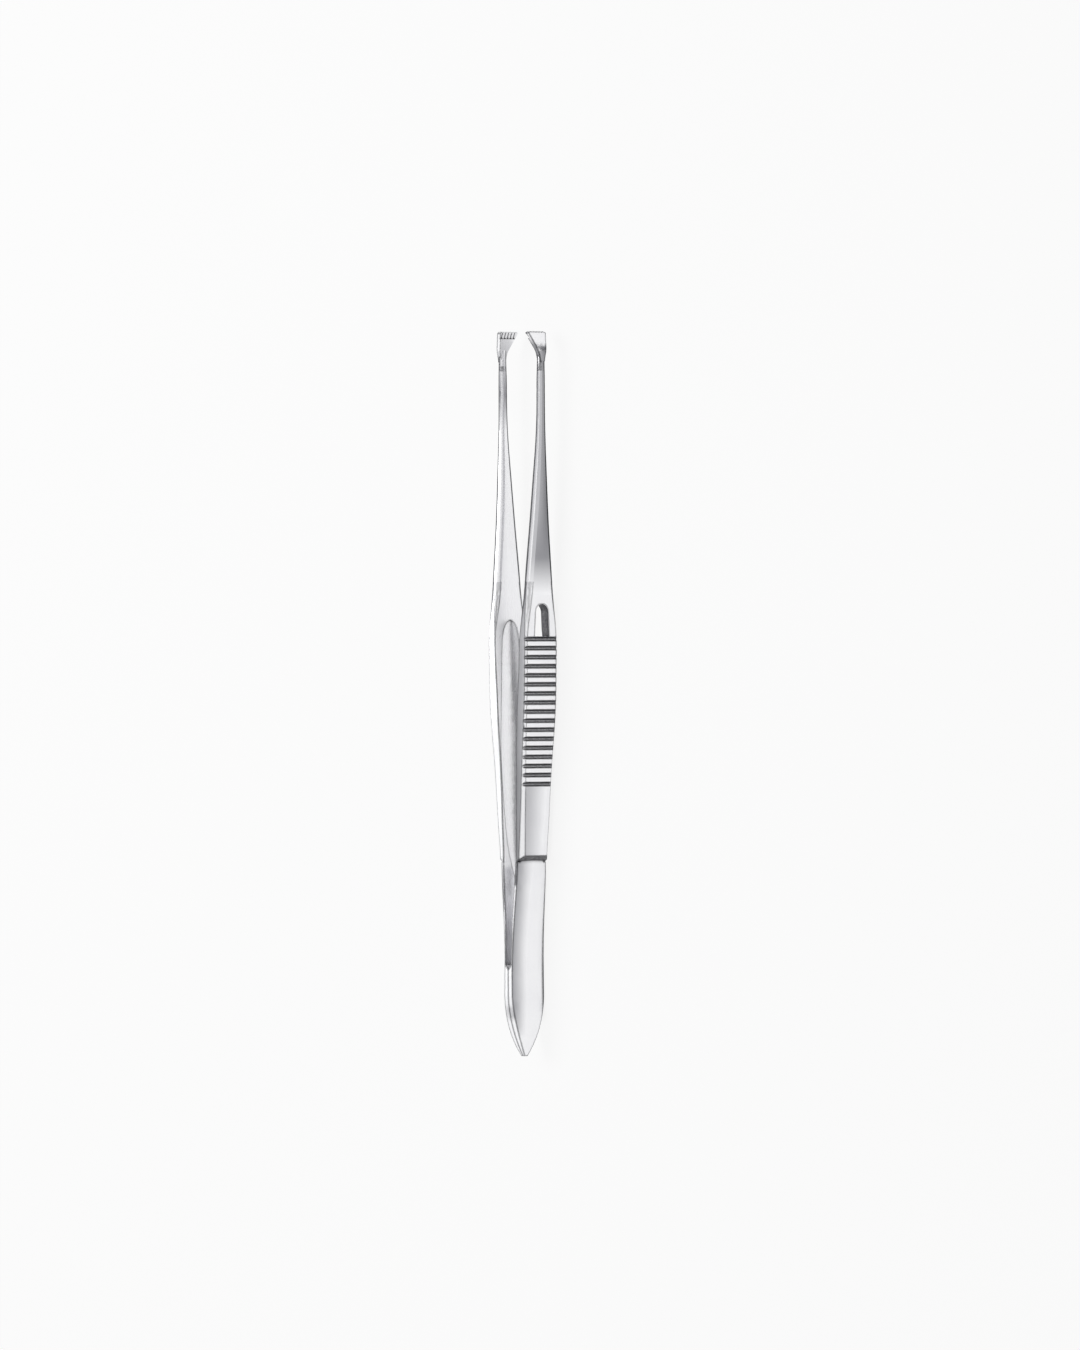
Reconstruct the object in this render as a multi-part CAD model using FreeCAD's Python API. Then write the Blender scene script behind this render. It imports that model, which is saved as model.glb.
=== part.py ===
"""Fixation forceps, 110 mm long: two forged spring limbs welded together at a leaf-shaped butt.

The instrument lies on its narrow sides. Y runs from the butt to the jaws, X is the way
the limbs open, Z is their width. Each limb is made in its own frame first: y = 0 at the
butt's tip, x = 0 on the plane where the two limbs meet, z = 0 in the middle of its width.
"""
import FreeCAD, Part
import math
import os

V = FreeCAD.Vector

# Lengths along the instrument, from the butt's tip
TAPER_LENGTH = 10.0
WELD_LENGTH = 13.1
LEAF_LENGTH = 29.5
PANEL_LENGTH = 11.8
GROOVE_COUNT = 17
GROOVE_PITCH = 1.375
SHOULDER_LENGTH = 7.5
SHAFT_LENGTH = 27.0
NECK_LENGTH = 8.6
JAW_LENGTH = 3.6

# Butt: the leaf-shaped rear end, two spring leaves with a slit between them
BUTT_HALF_WIDTH = 3.43
BELLY_HANDLE = 2.4
TIP_HALF_WIDTH = 0.3
TIP_THICKNESS = 0.15
TIP_SWELL_LENGTH = 4.2
TIP_SWELL_THICKNESS = 0.78
BUTT_THICKNESS = 0.82
LEAF_CROWN = 0.2
SLIT_HALF_GAP = 0.62
SLIT_POINT = 0.8
SLIT_MIDDLE_FORWARD = 7.4
SLIT_MIDDLE_HALF_GAP = 0.7
LEAF_EDGE = 0.37

# Step where the raised grip starts
STEP_RUN = 0.9
STEP_FOOT = 0.22
STEP_TONGUE_INSET = 0.6
STEP_INNER = 1.3
STEP_THICKNESS = 1.34
STEP_HALF_WIDTH = 3.02
STEP_BEVEL = 0.65

# Grip, with its plain panel behind and its cross grooves in front
PANEL_INNER = 1.52
PANEL_THICKNESS = 1.68
PANEL_HALF_WIDTH = 3.16
PANEL_BEVEL = 0.46
GRIP_INNER = 2.1
GRIP_THICKNESS = 1.88
GRIP_HALF_WIDTH = 3.43
GRIP_BEVEL = 0.3
GRIP_WIDEST_BACK = 9.3
EDGE_BREAK = 0.1
SIDE_LAND = 3.4
GROOVE_WIDTH = 0.62
GROOVE_DEPTH = 0.32
GROOVE_FLOOR_REAR = 0.19
GROOVE_FLOOR_FRONT = 0.12

# Shoulder, round shaft and neck
FRONT_INNER = 2.6
FRONT_THICKNESS = 1.52
FRONT_HALF_WIDTH = 3.4
SHOULDER_INNER = 2.64
SHOULDER_THICKNESS = 1.55
SHOULDER_HALF_WIDTH = 2.72
SHAFT_INNER = 2.95
SHAFT_THICKNESS = 1.5
SHAFT_HALF_WIDTH = 1.47
NECK_INNER = 3.56
NECK_DIAMETER = 1.0
NECK_HALF_WIDTH = 0.7
JAW_ROOT_INNER = 3.62
JAW_ROOT_THICKNESS = 0.94
JAW_ROOT_HALF_WIDTH = 0.65

# Window through the right limb, in front of the grooves
WINDOW_LENGTH = 4.9
WINDOW_REAR_WIDTH = 3.0
WINDOW_FRONT_WIDTH = 2.6
WINDOW_BEHIND = 0.1

# Scoop: the spoon-shaped hollow in each inner face
SCOOP_REAR = 24.2
SCOOP_BEHIND = 31.2
SCOOP_WIDEST = 44.0
SCOOP_AHEAD = 62.2
SCOOP_FRONT = 66.2
SCOOP_BEHIND_HALF_WIDTH = 1.9
SCOOP_HALF_WIDTH = 3.05
SCOOP_AHEAD_HALF_WIDTH = 1.85
SCOOP_DEPTH = 0.78

# Jaws: flared plates turned inwards, with interlocking teeth
JAW_TILT = 23.5
JAW_BEND_RADIUS = 3.2
JAW_THICKNESS = 0.76
JAW_HALF_WIDTH = 1.84
JAW_CORNER = 0.25
FLARE_REAR = 1.0
FLARE_REAR_HALF_WIDTH = 0.45
FLARE_HANDLE = 0.1
NECK_OVERLAP = 1.8
TOOTH_COUNT = 6
TOOTH_PITCH = 0.64
TOOTH_DEPTH = 0.3
TOOTH_LENGTH = 1.2
NOTCH_DEPTH = 0.14

# Stations worked out from the lengths
FIRST_GROOVE = LEAF_LENGTH + PANEL_LENGTH
LAST_GROOVE = FIRST_GROOVE + (GROOVE_COUNT - 1) * GROOVE_PITCH
SHOULDER = LAST_GROOVE + SHOULDER_LENGTH
GRIP_WIDEST = LAST_GROOVE - GRIP_WIDEST_BACK
SHAFT_REAR = SHOULDER + SHAFT_LENGTH / 2
NECK = SHOULDER + SHAFT_LENGTH
JAW_ROOT = NECK + NECK_LENGTH
NECK_END = JAW_ROOT + NECK_OVERLAP
OVERALL_LENGTH = JAW_ROOT + JAW_LENGTH
SLIT_MIDDLE = WELD_LENGTH + SLIT_MIDDLE_FORWARD

# Share of the shaft's thickness that its round corners take
ROUND_SHARE = 0.46

# Slices that the forged body is drawn through
BODY_SECTIONS = 16

# Slices of the scoop: places along its long point, parts of its middle, angles round its arch
SCOOP_POINT_SHARES = (0.02, 0.5)
SCOOP_MIDDLE_PARTS = 4
SCOOP_ARCH_ANGLES = (35, 65, 85)

# Pull towards a section's corner that makes the corner as deep as a quarter circle
ROUND_PULL = 0.82

# How far a cutting shape reaches past what it cuts, and one that goes right through a limb
REACH = 1.0
THROUGH = 14.0


def face_in_side_view(points, half_width):
    """Extrude a closed outline, given as (x, y) points, across the whole width."""
    corners = [V(x, y, -half_width) for x, y in points]
    outline = Part.makePolygon(corners + corners[:1])
    return Part.Face(outline).extrude(V(0, 0, 2 * half_width))


def bent_edge(*poles):
    """One smooth edge from the first pole to the last, drawn towards those between."""
    curve = Part.BezierCurve()
    curve.setPoles(list(poles))
    return curve.toShape()


def corner_edge(start, corner, end, roundness):
    """Edge across a section's corner, from a flat bevel at 0 to a round corner at 1."""
    flat = (start + end) * 0.5
    return bent_edge(start, flat + (corner - flat) * (ROUND_PULL * roundness), end)


def limb_section(station, inner, thickness, half_width, bevel, edge_break, roundness):
    """Cross-section of a limb: outer corners bevelled or rounded, inner edges broken."""
    outer = inner + thickness
    low = -half_width
    high = half_width
    a = V(inner, station, low + edge_break)
    b = V(inner, station, high - edge_break)
    c = V(inner + edge_break, station, high)
    d = V(outer - bevel, station, high)
    e = V(outer, station, high - bevel)
    f = V(outer, station, low + bevel)
    g = V(outer - bevel, station, low)
    h = V(inner + edge_break, station, low)
    edges = [
        Part.LineSegment(a, b).toShape(),
        corner_edge(b, V(inner, station, high), c, roundness),
        Part.LineSegment(c, d).toShape(),
        corner_edge(d, V(outer, station, high), e, roundness),
        Part.LineSegment(e, f).toShape(),
        corner_edge(f, V(outer, station, low), g, roundness),
        Part.LineSegment(g, h).toShape(),
        corner_edge(h, V(inner, station, low), a, roundness),
    ]
    return Part.Wire(edges)


def flowing_value(stations, values, y):
    """Value at y of a smooth line through (station, value) pairs that never overshoots them."""
    steps = [b - a for a, b in zip(stations, stations[1:])]
    slopes = [(b - a) / step for a, b, step in zip(values, values[1:], steps)]
    tangents = [slopes[0]]
    for before, after in zip(slopes, slopes[1:]):
        same_way = before * after > 0
        tangents.append(2 * before * after / (before + after) if same_way else 0.0)
    tangents.append(slopes[-1])
    index = 0
    while index < len(steps) - 1 and y > stations[index + 1]:
        index += 1
    t = (y - stations[index]) / steps[index]
    rise = values[index + 1] - values[index]
    start = tangents[index] * steps[index]
    end = tangents[index + 1] * steps[index]
    return values[index] + t * (start + t * (3 * rise - 2 * start - end + t * (start + end - 2 * rise)))


def grip_and_shaft():
    """Forged body from the step into the jaw: bevelled grip that tapers to a round shaft."""
    stations = [LEAF_LENGTH, FIRST_GROOVE, GRIP_WIDEST, LAST_GROOVE, SHOULDER, SHAFT_REAR, NECK,
                JAW_ROOT, NECK_END]
    inner = [STEP_INNER, PANEL_INNER, GRIP_INNER, FRONT_INNER, SHOULDER_INNER, SHAFT_INNER,
             NECK_INNER, JAW_ROOT_INNER, JAW_ROOT_INNER]
    thickness = [STEP_THICKNESS, PANEL_THICKNESS, GRIP_THICKNESS, FRONT_THICKNESS, SHOULDER_THICKNESS,
                 SHAFT_THICKNESS, NECK_DIAMETER, JAW_ROOT_THICKNESS, JAW_ROOT_THICKNESS]
    half_width = [STEP_HALF_WIDTH, PANEL_HALF_WIDTH, GRIP_HALF_WIDTH, FRONT_HALF_WIDTH,
                  SHOULDER_HALF_WIDTH, SHAFT_HALF_WIDTH, NECK_HALF_WIDTH, JAW_ROOT_HALF_WIDTH,
                  JAW_ROOT_HALF_WIDTH]
    bevel = [STEP_BEVEL, PANEL_BEVEL, GRIP_BEVEL, GRIP_BEVEL] + [
        ROUND_SHARE * value for value in thickness[4:]]
    edge_break = [EDGE_BREAK] * 4 + bevel[4:]
    roundness = [0] * 4 + [1] * 5
    sections = []
    for number in range(BODY_SECTIONS + 1):
        y = LEAF_LENGTH + number * (NECK_END - LEAF_LENGTH) / BODY_SECTIONS
        sizes = [flowing_value(stations, values, y) for values in
                 (inner, thickness, half_width, bevel, edge_break, roundness)]
        sections.append(limb_section(y, *sizes))
    return Part.makeLoft(sections, True, False).cut(outside_of_jaw())


def leaf_section(station, edge_x, half_width):
    """Section of the leaf from the middle plane out to its crowned outer face."""
    a = V(0, station, -half_width)
    b = V(0, station, half_width)
    c = V(edge_x, station, half_width)
    d = V(edge_x, station, -half_width)
    crown = V(edge_x + LEAF_CROWN, station, 0)
    return Part.Wire([
        Part.LineSegment(a, b).toShape(),
        Part.LineSegment(b, c).toShape(),
        Part.Arc(c, crown, d).toShape(),
        Part.LineSegment(d, a).toShape(),
    ])


def leaf_outline():
    """Leaf shape seen from outside: blunt tip, full belly, waist at the step."""
    tip = V(0, 0, TIP_HALF_WIDTH)
    belly = V(0, TAPER_LENGTH, BUTT_HALF_WIDTH)
    waist = V(0, LEAF_LENGTH, STEP_HALF_WIDTH)
    taper = bent_edge(tip, V(0, TAPER_LENGTH / 2, BUTT_HALF_WIDTH), belly)
    flank = bent_edge(belly, belly + V(0, BELLY_HANDLE, 0), waist)
    tongue_z = STEP_HALF_WIDTH - STEP_TONGUE_INSET
    tongue_y = LEAF_LENGTH + STEP_RUN
    half_end = Part.makePolygon([waist, V(0, LEAF_LENGTH, tongue_z), V(0, tongue_y, tongue_z)]).Edges
    upper = [taper, flank] + half_end
    lower = [edge.mirror(V(0, 0, 0), V(0, 0, 1)) for edge in upper]
    blunt = Part.LineSegment(tip, V(0, 0, -tip.z)).toShape()
    end = Part.LineSegment(V(0, tongue_y, tongue_z), V(0, tongue_y, -tongue_z)).toShape()
    wire = Part.Wire(Part.__sortEdges__(upper + lower + [blunt, end]))
    return Part.Face(wire).extrude(V(THROUGH, 0, 0))


def leaf_inner_gap():
    """Half of the gap between the leaves: pointed end at the weld, opening to the grip."""
    outline = [
        (0, WELD_LENGTH),
        (SLIT_HALF_GAP, WELD_LENGTH + SLIT_POINT),
        (SLIT_MIDDLE_HALF_GAP, SLIT_MIDDLE),
        (STEP_INNER, LEAF_LENGTH),
        (STEP_INNER, LEAF_LENGTH + 2 * STEP_RUN),
        (-REACH, LEAF_LENGTH + 2 * STEP_RUN),
        (-REACH, WELD_LENGTH),
    ]
    return face_in_side_view(outline, 2 * BUTT_HALF_WIDTH)


def spring_leaf():
    """Thin crowned leaf of one limb with its half of the welded butt."""
    half = BUTT_HALF_WIDTH + EDGE_BREAK
    sections = [
        leaf_section(0, TIP_THICKNESS, half),
        leaf_section(TIP_SWELL_LENGTH, TIP_SWELL_THICKNESS, half),
        leaf_section(TAPER_LENGTH, BUTT_THICKNESS, half),
        leaf_section(SLIT_MIDDLE, SLIT_MIDDLE_HALF_GAP + LEAF_EDGE, half),
        leaf_section(LEAF_LENGTH, STEP_INNER + LEAF_EDGE, half),
        leaf_section(LEAF_LENGTH + STEP_RUN, STEP_INNER + LEAF_EDGE, half),
    ]
    body = Part.makeLoft(sections, True, False)
    return body.common(leaf_outline()).cut(leaf_inner_gap())


def step_wedge():
    """Removes the grip's rear end down to the leaf, along a slope."""
    foot = STEP_INNER + STEP_FOOT
    slope = STEP_RUN / (STEP_THICKNESS - STEP_FOOT)
    top = STEP_INNER + THROUGH
    outline = [
        (foot, LEAF_LENGTH - REACH),
        (foot, LEAF_LENGTH),
        (top, LEAF_LENGTH + slope * (top - foot)),
        (top, LEAF_LENGTH - REACH),
    ]
    return face_in_side_view(outline, 2 * BUTT_HALF_WIDTH)


def face_x(body, station, side):
    """Where the limb's inner (side 0) or outer (side 1) face lies on its middle line."""
    probe = Part.makeLine(V(-REACH, station, 0), V(THROUGH, station, 0))
    box = body.common(probe).BoundBox
    return box.XMax if side else box.XMin


def groove_cutters(body):
    """Cross grooves over the grip's outer face, each with one steep and one sloping flank."""
    cutters = []
    for number in range(GROOVE_COUNT):
        middle = FIRST_GROOVE + number * GROOVE_PITCH
        surface = face_x(body, middle, 1)
        bottom = surface - GROOVE_DEPTH
        half = GROOVE_WIDTH / 2
        outline = [
            (bottom, middle - GROOVE_FLOOR_REAR),
            (bottom, middle + GROOVE_FLOOR_FRONT),
            (surface, middle + half),
            (surface + REACH, middle + half),
            (surface + REACH, middle - half),
            (surface, middle - half),
        ]
        cutters.append(face_in_side_view(outline, 2 * BUTT_HALF_WIDTH))
    return cutters


def scoop_section(inner, station, half_width, depth):
    """Slice of the scoop: a shallow bow that reaches a little past the inner face."""
    past = depth / 2
    wide = half_width * math.sqrt(1 + past / depth)
    low = V(inner - past, station, -wide)
    high = V(inner - past, station, wide)
    bow = bent_edge(low, V(inner + 2 * depth + past, station, 0), high)
    return Part.Wire([bow, Part.LineSegment(high, low).toShape()])


def scoop(body):
    """Spoon-shaped hollow of the inner face: round arch in front, long point behind."""
    stations = [SCOOP_BEHIND, SCOOP_WIDEST, SCOOP_AHEAD]
    widths = [SCOOP_BEHIND_HALF_WIDTH, SCOOP_HALF_WIDTH, SCOOP_AHEAD_HALF_WIDTH]
    places = []
    for share in SCOOP_POINT_SHARES:
        y = SCOOP_REAR + share * (SCOOP_BEHIND - SCOOP_REAR)
        places.append((y, share * SCOOP_BEHIND_HALF_WIDTH))
    for number in range(SCOOP_MIDDLE_PARTS + 1):
        y = SCOOP_BEHIND + number * (SCOOP_AHEAD - SCOOP_BEHIND) / SCOOP_MIDDLE_PARTS
        places.append((y, flowing_value(stations, widths, y)))
    for degrees in SCOOP_ARCH_ANGLES:
        angle = math.radians(degrees)
        y = SCOOP_AHEAD + math.sin(angle) * (SCOOP_FRONT - SCOOP_AHEAD)
        places.append((y, math.cos(angle) * SCOOP_AHEAD_HALF_WIDTH))
    sections = []
    for y, width in places:
        depth = SCOOP_DEPTH * width / SCOOP_HALF_WIDTH
        sections.append(scoop_section(face_x(body, y, 0), y, width, depth))
    return Part.makeLoft(sections, True, False)


def window():
    """Arched opening right through the limb in front of the grooves, flat at its rear end."""
    rear = LAST_GROOVE + GROOVE_WIDTH / 2 + WINDOW_BEHIND
    radius = WINDOW_FRONT_WIDTH / 2
    arch_y = rear + WINDOW_LENGTH - radius
    corner = V(0, rear, WINDOW_REAR_WIDTH / 2)
    spring = V(0, arch_y, radius)
    other_spring = V(0, arch_y, -radius)
    other_corner = V(0, rear, -WINDOW_REAR_WIDTH / 2)
    wire = Part.Wire([
        Part.LineSegment(corner, spring).toShape(),
        Part.Arc(spring, V(0, rear + WINDOW_LENGTH, 0), other_spring).toShape(),
        Part.LineSegment(other_spring, other_corner).toShape(),
        Part.LineSegment(other_corner, corner).toShape(),
    ])
    return Part.Face(wire).extrude(V(THROUGH, 0, 0))


def jaw_face_edges(radius):
    """Side view of a jaw's face, with its two ends: along the neck, one bend, then tilted."""
    outer_x = JAW_ROOT_INNER + JAW_ROOT_THICKNESS
    centre = V(outer_x - JAW_BEND_RADIUS, JAW_ROOT, 0)
    tilt = math.radians(JAW_TILT)
    start = centre + V(radius, 0, 0)
    middle = centre + V(radius * math.cos(tilt / 2), radius * math.sin(tilt / 2), 0)
    end = centre + V(radius * math.cos(tilt), radius * math.sin(tilt), 0)
    run = OVERALL_LENGTH + REACH - end.y
    rear = start - V(0, REACH, 0)
    front = end + V(-run * math.tan(tilt), run, 0)
    edges = [
        Part.LineSegment(rear, start).toShape(),
        Part.Arc(start, middle, end).toShape(),
        Part.LineSegment(end, front).toShape(),
    ]
    return edges, rear, front


def between(first_edges, first_rear, first_front, other_edges, other_rear, other_front):
    """Solid between two side-view lines, wider than any jaw."""
    ends = [
        Part.LineSegment(first_rear, other_rear).toShape(),
        Part.LineSegment(first_front, other_front).toShape(),
    ]
    wire = Part.Wire(Part.__sortEdges__(first_edges + other_edges + ends))
    face = Part.Face(wire)
    reach = JAW_HALF_WIDTH + REACH
    face.translate(V(0, 0, -reach))
    return face.extrude(V(0, 0, 2 * reach))


def jaw_plate():
    """Plate of a jaw's thickness that follows the bend."""
    outer = jaw_face_edges(JAW_BEND_RADIUS)
    inner = jaw_face_edges(JAW_BEND_RADIUS - JAW_THICKNESS)
    return between(*outer, *inner)


def outside_of_jaw():
    """Space outside the jaw's outer face, which trims the round neck to an arched end."""
    edges, rear, front = jaw_face_edges(JAW_BEND_RADIUS)
    far_rear = V(rear.x + REACH, rear.y, 0)
    far_front = V(rear.x + REACH, front.y, 0)
    far = Part.LineSegment(far_rear, far_front).toShape()
    return between(edges, rear, front, [far], far_rear, far_front)


def jaw_outline():
    """Flare of a jaw seen from outside, with its two front corners broken."""
    widest = V(0, OVERALL_LENGTH - JAW_CORNER, JAW_HALF_WIDTH)
    front = V(0, OVERALL_LENGTH, JAW_HALF_WIDTH - JAW_CORNER)
    rear = V(0, JAW_ROOT - FLARE_REAR, FLARE_REAR_HALF_WIDTH)
    handle = V(0, JAW_ROOT - FLARE_HANDLE, FLARE_REAR_HALF_WIDTH)
    upper = [bent_edge(rear, handle, widest), Part.LineSegment(widest, front).toShape()]
    lower = [edge.mirror(V(0, 0, 0), V(0, 0, 1)) for edge in upper]
    ends = [
        Part.LineSegment(front, V(0, front.y, -front.z)).toShape(),
        Part.LineSegment(rear, V(0, rear.y, -rear.z)).toShape(),
    ]
    wire = Part.Wire(Part.__sortEdges__(upper + lower + ends))
    return Part.Face(wire).extrude(V(THROUGH, 0, 0))


def tooth_cutters(groove_count):
    """V grooves along the jaw's inner face, each with a notch where it leaves at the front."""
    rear, front = jaw_face_edges(JAW_BEND_RADIUS - JAW_THICKNESS)[0][-1].Vertexes
    along = front.Point - rear.Point
    along.normalize()
    into = V(-along.y, along.x, 0)
    if into.x < 0:
        into = into * -1
    tilt = math.radians(JAW_TILT)
    crest = rear.Point + along * ((OVERALL_LENGTH - rear.Point.y) / math.cos(tilt))
    start = crest - along * TOOTH_LENGTH
    wide = V(0, 0, TOOTH_PITCH)
    cutters = []
    for number in range(groove_count):
        z = V(0, 0, (number - (groove_count - 1) / 2) * TOOTH_PITCH)
        bottom = start + into * TOOTH_DEPTH + z
        top = start - into * TOOTH_DEPTH + z
        groove = Part.Face(Part.makePolygon([bottom, top + wide, top - wide, bottom]))
        cutters.append(groove.extrude(along * (TOOTH_LENGTH + REACH)))
        deep = V(0, OVERALL_LENGTH - NOTCH_DEPTH, 0) + z
        past = V(0, OVERALL_LENGTH + NOTCH_DEPTH, 0) + z
        notch = Part.Face(Part.makePolygon([deep, past + wide, past - wide, deep]))
        cutters.append(notch.extrude(V(THROUGH, 0, 0)))
    return cutters


def jaw(groove_count):
    """One jaw, flared and bent inwards, with its tooth grooves cut."""
    plate = jaw_plate().common(jaw_outline())
    return plate.cut(tooth_cutters(groove_count))


def limb(groove_count, with_window):
    """One whole limb, opening towards +X, in its own frame."""
    body = grip_and_shaft().cut(step_wedge())
    shape = body.fuse([spring_leaf(), jaw(groove_count)])
    cutters = groove_cutters(body) + [scoop(shape)]
    if with_window:
        cutters.append(window())
    shape = shape.cut(cutters)
    side_space = Part.makeBox(
        THROUGH, OVERALL_LENGTH + 2 * REACH, 2 * SIDE_LAND, V(-REACH, -REACH, -SIDE_LAND))
    return shape.common(side_space)


def place(shape):
    """Lay the limb on its narrow side, with the instrument centred along Y."""
    shape.translate(V(0, -OVERALL_LENGTH / 2, SIDE_LAND))
    return shape


def right_limb():
    """Limb on the +X side, with the window and the full count of tooth grooves."""
    return place(limb(TOOTH_COUNT, True))


def left_limb():
    """Limb on the -X side: its teeth stand in the grooves of the other jaw."""
    return place(limb(TOOTH_COUNT - 1, False).mirror(V(0, 0, 0), V(1, 0, 0)))


def main():
    os.makedirs("parts", exist_ok=True)
    for name, make in (("right_limb", right_limb), ("left_limb", left_limb)):
        shape = make()
        shape.exportStep("parts/" + name + ".step")
        print(name, shape.isValid(), len(shape.Solids), round(shape.Volume, 3), shape.BoundBox)


main()
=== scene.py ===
"""Studio scene of a pair of polished steel fixation forceps that lies on a pale floor.

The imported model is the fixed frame. This script gives its two limbs their finish, puts a
floor under them, lights them softly and sets the camera to the photograph's viewing angle.
"""
import logging
import math
from dataclasses import dataclass
from enum import Enum

import bpy
from mathutils import Matrix, Vector


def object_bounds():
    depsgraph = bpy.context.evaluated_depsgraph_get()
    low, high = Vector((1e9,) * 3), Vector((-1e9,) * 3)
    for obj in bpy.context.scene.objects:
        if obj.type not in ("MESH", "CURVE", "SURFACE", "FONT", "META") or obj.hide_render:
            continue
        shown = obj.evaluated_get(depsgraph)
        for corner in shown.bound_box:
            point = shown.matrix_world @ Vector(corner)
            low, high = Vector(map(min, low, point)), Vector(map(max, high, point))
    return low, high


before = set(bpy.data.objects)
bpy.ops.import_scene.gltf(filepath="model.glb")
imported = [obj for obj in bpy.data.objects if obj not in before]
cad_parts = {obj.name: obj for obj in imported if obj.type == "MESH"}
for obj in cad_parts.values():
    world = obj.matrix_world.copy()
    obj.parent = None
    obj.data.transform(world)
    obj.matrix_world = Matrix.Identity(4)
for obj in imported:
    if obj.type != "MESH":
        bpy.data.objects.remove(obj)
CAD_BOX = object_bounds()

LOG = logging.getLogger("forceps_scene")
MM = 0.001
BUTT = CAD_BOX[0].y
MIDDLE_HEIGHT = (CAD_BOX[0].z + CAD_BOX[1].z) / 2

# The camera looks down at the instrument from this far round its length.
VIEW_TURN_DEGREES = 45.0

# Nearly all values of a noise texture lie between these two.
NOISE_LOW = 0.3
NOISE_HIGH = 0.7


def linear_colour(hex_value: str) -> tuple[float, float, float, float]:
    """Turn an sRGB hex colour into linear light.

    Args:
        hex_value: six hex digits, such as "c8c9cc".

    Returns:
        Red, green and blue as linear values, and full opacity.
    """
    channels = [int(hex_value[i:i + 2], 16) / 255 for i in (0, 2, 4)]
    red, green, blue = (c / 12.92 if c <= 0.04045 else ((c + 0.055) / 1.055) ** 2.4 for c in channels)
    return (red, green, blue, 1.0)


def add_node(tree: bpy.types.NodeTree, kind: str, settings: dict | None = None,
             inputs: dict | None = None) -> bpy.types.Node:
    """Add one node, with its settings, input values and links.

    Args:
        tree: the node tree of a material or the world.
        kind: the node's type name.
        settings: properties of the node itself.
        inputs: socket name or index to a value, or to an output socket to link from.

    Returns:
        The new node.
    """
    node = tree.nodes.new(kind)
    for name, value in (settings or {}).items():
        setattr(node, name, value)
    for key, value in (inputs or {}).items():
        if isinstance(value, bpy.types.NodeSocket):
            tree.links.new(value, node.inputs[key])
        else:
            node.inputs[key].default_value = value
    return node


@dataclass(frozen=True)
class Landmarks:
    """Where the features of the limbs lie, in millimetres from the butt."""

    step: float = 29.5
    grooves_rear: float = 40.5
    window_rear: float = 63.5
    window_front: float = 68.8
    window_half_width: float = 1.8
    scoop_front: float = 66.3
    shaft_rear: float = 72.0
    shaft_front: float = 104.0
    jaws_rear: float = 104.8


@dataclass(frozen=True)
class LimbSurface:
    """Where a shaded spot lies on a limb and which way it looks, as sockets of one material."""

    tree: bpy.types.NodeTree
    place: bpy.types.NodeSocket
    normal: bpy.types.NodeSocket

    def ahead_of(self, station_mm: float) -> bpy.types.NodeSocket:
        """Mark what lies ahead of a station.

        Args:
            station_mm: the station, in millimetres from the butt.

        Returns:
            A socket that is 1 ahead of the station and 0 behind it.
        """
        spot = add_node(self.tree, "ShaderNodeSeparateXYZ", None, {0: self.place})
        ahead = add_node(self.tree, "ShaderNodeMath", {"operation": "GREATER_THAN"}, {
            0: spot.outputs["Y"], 1: BUTT + station_mm * MM})
        return ahead.outputs[0]

    def between(self, rear_mm: float, front_mm: float) -> bpy.types.NodeSocket:
        """Mark the stretch between two stations.

        Args:
            rear_mm: where it begins, in millimetres from the butt.
            front_mm: where it ends.

        Returns:
            A socket that is 1 between the stations and 0 elsewhere.
        """
        spot = add_node(self.tree, "ShaderNodeSeparateXYZ", None, {0: self.place})
        inside = add_node(self.tree, "ShaderNodeMath", {"operation": "COMPARE"}, {
            0: spot.outputs["Y"], 1: BUTT + (rear_mm + front_mm) / 2 * MM,
            2: (front_mm - rear_mm) / 2 * MM})
        return inside.outputs[0]

    def facing_out(self) -> bpy.types.NodeSocket:
        """Tell the faces of a limb apart.

        Returns:
            A socket that is 1 on the outer face, -1 on the inner face and 0 on the narrow sides.
        """
        normal_x = add_node(self.tree, "ShaderNodeSeparateXYZ", None, {0: self.normal}).outputs["X"]
        place_x = add_node(self.tree, "ShaderNodeSeparateXYZ", None, {0: self.place}).outputs["X"]
        limb = add_node(self.tree, "ShaderNodeMath", {"operation": "SIGN"}, {0: place_x})
        facing = add_node(self.tree, "ShaderNodeMath", {"operation": "MULTIPLY"},
                          {0: normal_x, 1: limb.outputs[0]})
        return facing.outputs[0]


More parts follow.
